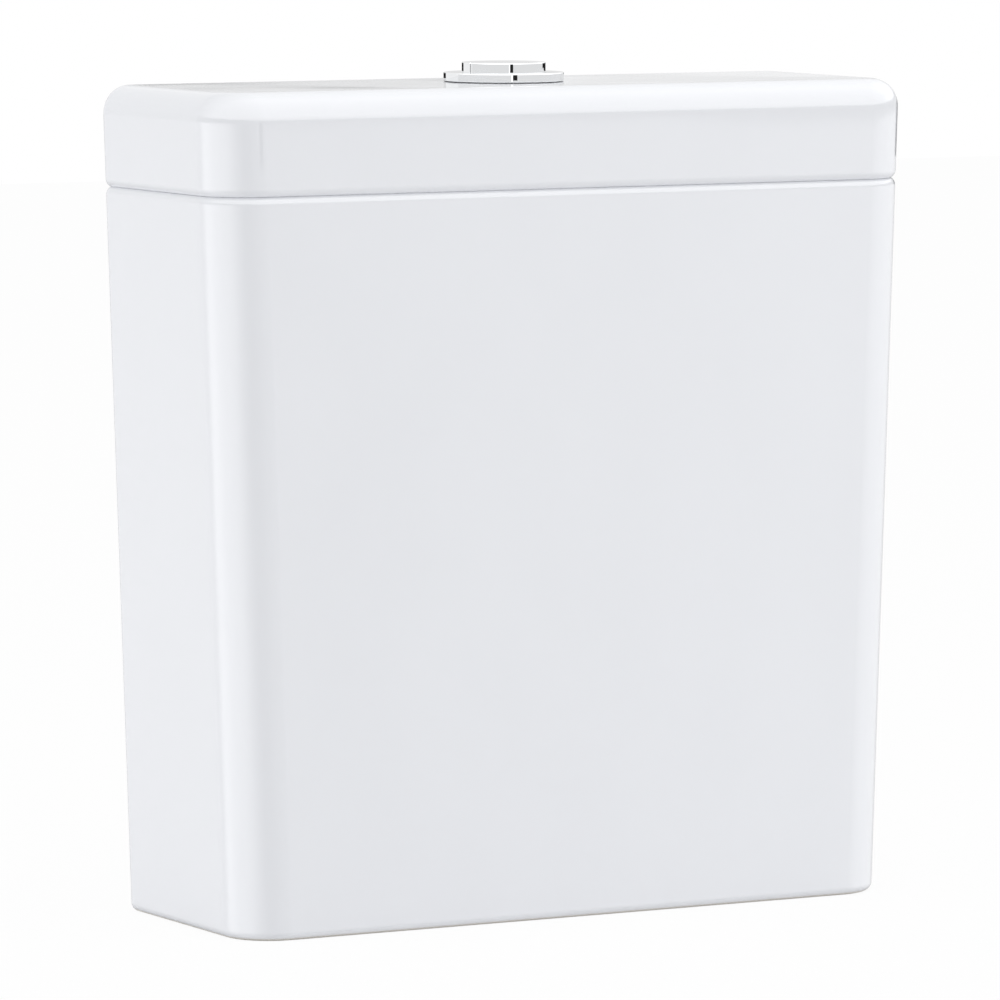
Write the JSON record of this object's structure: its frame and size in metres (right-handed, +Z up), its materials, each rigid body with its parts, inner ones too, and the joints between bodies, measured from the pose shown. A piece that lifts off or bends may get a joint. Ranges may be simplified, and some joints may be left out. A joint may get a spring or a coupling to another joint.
{
  "type": "toilet cistern",
  "caption": "Slim close-coupled ceramic toilet cistern with a lift-off lid, a round two-part chrome push button, a flush valve and a bottom-entry fill valve inside.",
  "frame": {"origin": "middle of the foot rim: mid-width, mid-depth, at the height that it stands on", "axes": "+X across the cistern, to the right seen from the front; -Y is the front; +Z up"},
  "size_m": [0.379, 0.1246, 0.4062],
  "materials": {
    "glazed_ceramic": "white vitreous china under a clear gloss glaze",
    "chrome": "polished chrome plate",
    "white_plastic": "semi-gloss moulded",
    "grey_plastic": "satin moulded",
    "clear_white_plastic": "milky satin moulded",
    "blue_plastic": "semi-gloss moulded",
    "black_rubber": "matt moulded rubber",
    "stainless_steel": "drawn, bright"
  },
  "bodies": {
    "tank": {"cistern_tank": "glazed_ceramic", "valve_seat_body": "grey_plastic", "shank_seal": "black_rubber", "shank_back_nut": "white_plastic", "pan_gasket": "black_rubber", "valve_basket": "grey_plastic", "lever_bridge": "grey_plastic", "lever_pins": "stainless_steel", "fill_valve_riser": "grey_plastic", "inlet_seal": "black_rubber", "inlet_back_nut": "white_plastic", "inlet_filter": "blue_plastic", "fill_valve_head": "grey_plastic", "fill_diaphragm": "black_rubber", "fill_valve_cap": "white_plastic", "float_arm_pin": "stainless_steel", "discharge_tube": "grey_plastic"},
    "lid": {"cistern_lid": "glazed_ceramic", "lid_pads": "black_rubber", "button_rosette": "chrome", "rosette_seal": "black_rubber", "lid_lock_nut": "white_plastic", "button_guide": "white_plastic", "full_button_spring": "stainless_steel", "half_button_spring": "stainless_steel"},
    "full_button": {"full_flush_button": "chrome", "full_push_rod": "white_plastic"},
    "half_button": {"half_flush_button": "chrome", "half_push_rod": "white_plastic"},
    "full_lever": {"full_flush_lever": "white_plastic"},
    "half_lever": {"half_flush_lever": "white_plastic"},
    "valve_stem": {"overflow_tube": "clear_white_plastic", "valve_seal": "black_rubber", "seal_plate": "clear_white_plastic", "full_flush_float": "clear_white_plastic", "lift_hook": "clear_white_plastic"},
    "half_stem": {"half_flush_rod": "clear_white_plastic", "half_flush_float": "clear_white_plastic", "half_float_clip": "blue_plastic"},
    "float": {"float_cup": "clear_white_plastic"},
    "screw": {"level_screw": "blue_plastic"},
    "arm": {"float_arm": "white_plastic"},
    "plunger": {"pilot_plunger": "blue_plastic"}
  },
  "joints": [
    {"name": "lid_lift", "type": "slide", "parent": "tank", "child": "lid", "axis": [0, 0, 1], "range_m": [0, 0.15]},
    {"name": "full_button_press", "type": "slide", "parent": "lid", "child": "full_button", "axis": [0, 0, -1], "range_m": [0, 0.007], "stiffness_N_per_m": 150, "springref_m": -0.006, "deforming": ["full_button_spring"]},
    {"name": "half_button_press", "type": "slide", "parent": "lid", "child": "half_button", "axis": [0, 0, -1], "range_m": [0, 0.007], "stiffness_N_per_m": 150, "springref_m": -0.006, "deforming": ["half_button_spring"]},
    {"name": "full_lever_tilt", "type": "hinge", "parent": "tank", "child": "full_lever", "pos_m": [0.018, 0.0181, 0.312], "axis": [0, -1, 0], "range_deg": [0, 22.43]},
    {"name": "valve_lift", "type": "slide", "parent": "tank", "child": "valve_stem", "axis": [0, 0, 1], "range_m": [0, 0.00934]},
    {"name": "half_lever_tilt", "type": "hinge", "parent": "tank", "child": "half_lever", "pos_m": [-0.018, -0.0029, 0.312], "axis": [0, 1, 0], "range_deg": [0, 22.43]},
    {"name": "half_stem_lift", "type": "slide", "parent": "tank", "child": "half_stem", "axis": [0, 0, 1], "range_m": [0, 0.00934]},
    {"name": "float_rise", "type": "slide", "parent": "tank", "child": "float", "axis": [0, 0, 1], "range_m": [0, 0.01]},
    {"name": "float_arm_tilt", "type": "hinge", "parent": "tank", "child": "arm", "pos_m": [-0.116, 0.0091, 0.297], "axis": [0, -1, 0], "range_deg": [0, 19.2]},
    {"name": "plunger_press", "type": "slide", "parent": "tank", "child": "plunger", "axis": [0, 0, -1], "range_m": [0, 0.00401]},
    {"name": "level_screw_turn", "type": "hinge", "parent": "float", "child": "screw", "pos_m": [-0.086, 0.0091, 0.25], "axis": [0, 0, 1], "continuous": true}
  ],
  "couplings": [
    {"joint": "full_lever_tilt", "follows": "full_button_press", "rad_per_m": 55.912},
    {"joint": "valve_lift", "follows": "full_button_press", "ratio": 1.3333},
    {"joint": "half_lever_tilt", "follows": "half_button_press", "rad_per_m": 55.912},
    {"joint": "half_stem_lift", "follows": "half_button_press", "ratio": 1.3333},
    {"joint": "float_arm_tilt", "follows": "float_rise", "rad_per_m": 33.49},
    {"joint": "plunger_press", "follows": "float_rise", "ratio": 0.4}
  ]
}
